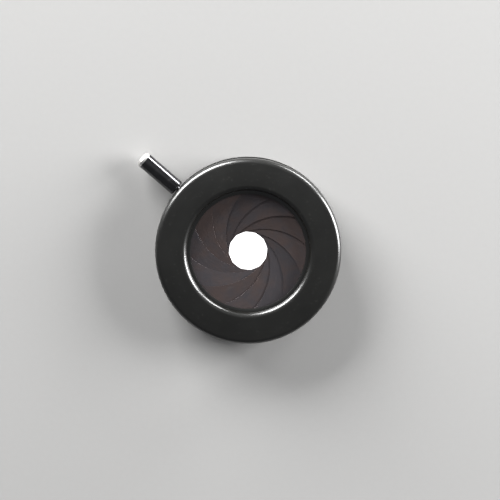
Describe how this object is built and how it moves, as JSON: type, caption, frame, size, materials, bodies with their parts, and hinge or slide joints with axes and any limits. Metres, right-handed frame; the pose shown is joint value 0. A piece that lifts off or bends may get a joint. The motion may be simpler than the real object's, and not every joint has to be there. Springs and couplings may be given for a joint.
{
  "type": "iris diaphragm",
  "caption": "Lever-operated iris diaphragm: overlapping blued steel leaves in a black ring housing close a round light aperture.",
  "frame": {"origin": "centre of the aperture: on the optical axis, half way through the depth of the leaf space", "axes": "+Z along the optical axis, out of the closed front face; the lever of the stored part points to 139 degrees, anticlockwise from +X"},
  "size_m": [0.0416, 0.0389, 0.0074],
  "materials": {
    "housing_black": "satin black anodised",
    "cover_black": "matt black anodised",
    "ring_black": "black oxidised",
    "lever_steel": "polished black nickel",
    "spring_steel": "spring steel",
    "snap_steel": "blackened spring steel",
    "leaf_steel": "blued brushed steel",
    "stud_steel": "bright steel"
  },
  "bodies": {
    "housing": {"housing": "housing_black", "back_cover": "cover_black", "spring_washer": "spring_steel", "snap_ring": "snap_steel"},
    "drive_ring": {"drive_ring": "ring_black", "lever": "lever_steel"},
    "leaf_01": {"leaf_01": "leaf_steel", "pivot_stud_01": "stud_steel", "drive_stud_01": "stud_steel"},
    "leaf_02": {"leaf_02": "leaf_steel", "pivot_stud_02": "stud_steel", "drive_stud_02": "stud_steel"},
    "leaf_03": {"leaf_03": "leaf_steel", "pivot_stud_03": "stud_steel", "drive_stud_03": "stud_steel"},
    "leaf_04": {"leaf_04": "leaf_steel", "pivot_stud_04": "stud_steel", "drive_stud_04": "stud_steel"},
    "leaf_05": {"leaf_05": "leaf_steel", "pivot_stud_05": "stud_steel", "drive_stud_05": "stud_steel"},
    "leaf_06": {"leaf_06": "leaf_steel", "pivot_stud_06": "stud_steel", "drive_stud_06": "stud_steel"},
    "leaf_07": {"leaf_07": "leaf_steel", "pivot_stud_07": "stud_steel", "drive_stud_07": "stud_steel"},
    "leaf_08": {"leaf_08": "leaf_steel", "pivot_stud_08": "stud_steel", "drive_stud_08": "stud_steel"},
    "leaf_09": {"leaf_09": "leaf_steel", "pivot_stud_09": "stud_steel", "drive_stud_09": "stud_steel"},
    "leaf_10": {"leaf_10": "leaf_steel", "pivot_stud_10": "stud_steel", "drive_stud_10": "stud_steel"},
    "leaf_11": {"leaf_11": "leaf_steel", "pivot_stud_11": "stud_steel", "drive_stud_11": "stud_steel"},
    "leaf_12": {"leaf_12": "leaf_steel", "pivot_stud_12": "stud_steel", "drive_stud_12": "stud_steel"}
  },
  "joints": [
    {"name": "lever_turn", "type": "hinge", "parent": "housing", "child": "drive_ring", "pos_m": [0, 0, 0], "axis": [0, 0, 1], "range_deg": [-67.37, 20.93]},
    {"name": "leaf_01_swing", "type": "hinge", "parent": "housing", "child": "leaf_01", "pos_m": [0.01503, 0.00143, 0], "axis": [0, 0, 1], "range_deg": [-33.68, 10.47]},
    {"name": "leaf_02_swing", "type": "hinge", "parent": "housing", "child": "leaf_02", "pos_m": [0.0123, 0.00876, 0], "axis": [0, 0, 1], "range_deg": [-33.68, 10.47]},
    {"name": "leaf_03_swing", "type": "hinge", "parent": "housing", "child": "leaf_03", "pos_m": [0.00627, 0.01373, 0], "axis": [0, 0, 1], "range_deg": [-33.68, 10.47]},
    {"name": "leaf_04_swing", "type": "hinge", "parent": "housing", "child": "leaf_04", "pos_m": [-0.00143, 0.01503, 0], "axis": [0, 0, 1], "range_deg": [-33.68, 10.47]},
    {"name": "leaf_05_swing", "type": "hinge", "parent": "housing", "child": "leaf_05", "pos_m": [-0.00876, 0.0123, 0], "axis": [0, 0, 1], "range_deg": [-33.68, 10.47]},
    {"name": "leaf_06_swing", "type": "hinge", "parent": "housing", "child": "leaf_06", "pos_m": [-0.01373, 0.00627, 0], "axis": [0, 0, 1], "range_deg": [-33.68, 10.47]},
    {"name": "leaf_07_swing", "type": "hinge", "parent": "housing", "child": "leaf_07", "pos_m": [-0.01503, -0.00143, 0], "axis": [0, 0, 1], "range_deg": [-33.68, 10.47]},
    {"name": "leaf_08_swing", "type": "hinge", "parent": "housing", "child": "leaf_08", "pos_m": [-0.0123, -0.00876, 0], "axis": [0, 0, 1], "range_deg": [-33.68, 10.47]},
    {"name": "leaf_09_swing", "type": "hinge", "parent": "housing", "child": "leaf_09", "pos_m": [-0.00627, -0.01373, 0], "axis": [0, 0, 1], "range_deg": [-33.68, 10.47]},
    {"name": "leaf_10_swing", "type": "hinge", "parent": "housing", "child": "leaf_10", "pos_m": [0.00143, -0.01503, 0], "axis": [0, 0, 1], "range_deg": [-33.68, 10.47]},
    {"name": "leaf_11_swing", "type": "hinge", "parent": "housing", "child": "leaf_11", "pos_m": [0.00876, -0.0123, 0], "axis": [0, 0, 1], "range_deg": [-33.68, 10.47]},
    {"name": "leaf_12_swing", "type": "hinge", "parent": "housing", "child": "leaf_12", "pos_m": [0.01373, -0.00627, 0], "axis": [0, 0, 1], "range_deg": [-33.68, 10.47]}
  ],
  "couplings": [
    {"joint": "leaf_01_swing", "follows": "lever_turn", "ratio": 0.5},
    {"joint": "leaf_02_swing", "follows": "lever_turn", "ratio": 0.5},
    {"joint": "leaf_03_swing", "follows": "lever_turn", "ratio": 0.5},
    {"joint": "leaf_04_swing", "follows": "lever_turn", "ratio": 0.5},
    {"joint": "leaf_05_swing", "follows": "lever_turn", "ratio": 0.5},
    {"joint": "leaf_06_swing", "follows": "lever_turn", "ratio": 0.5},
    {"joint": "leaf_07_swing", "follows": "lever_turn", "ratio": 0.5},
    {"joint": "leaf_08_swing", "follows": "lever_turn", "ratio": 0.5},
    {"joint": "leaf_09_swing", "follows": "lever_turn", "ratio": 0.5},
    {"joint": "leaf_10_swing", "follows": "lever_turn", "ratio": 0.5},
    {"joint": "leaf_11_swing", "follows": "lever_turn", "ratio": 0.5},
    {"joint": "leaf_12_swing", "follows": "lever_turn", "ratio": 0.5}
  ]
}
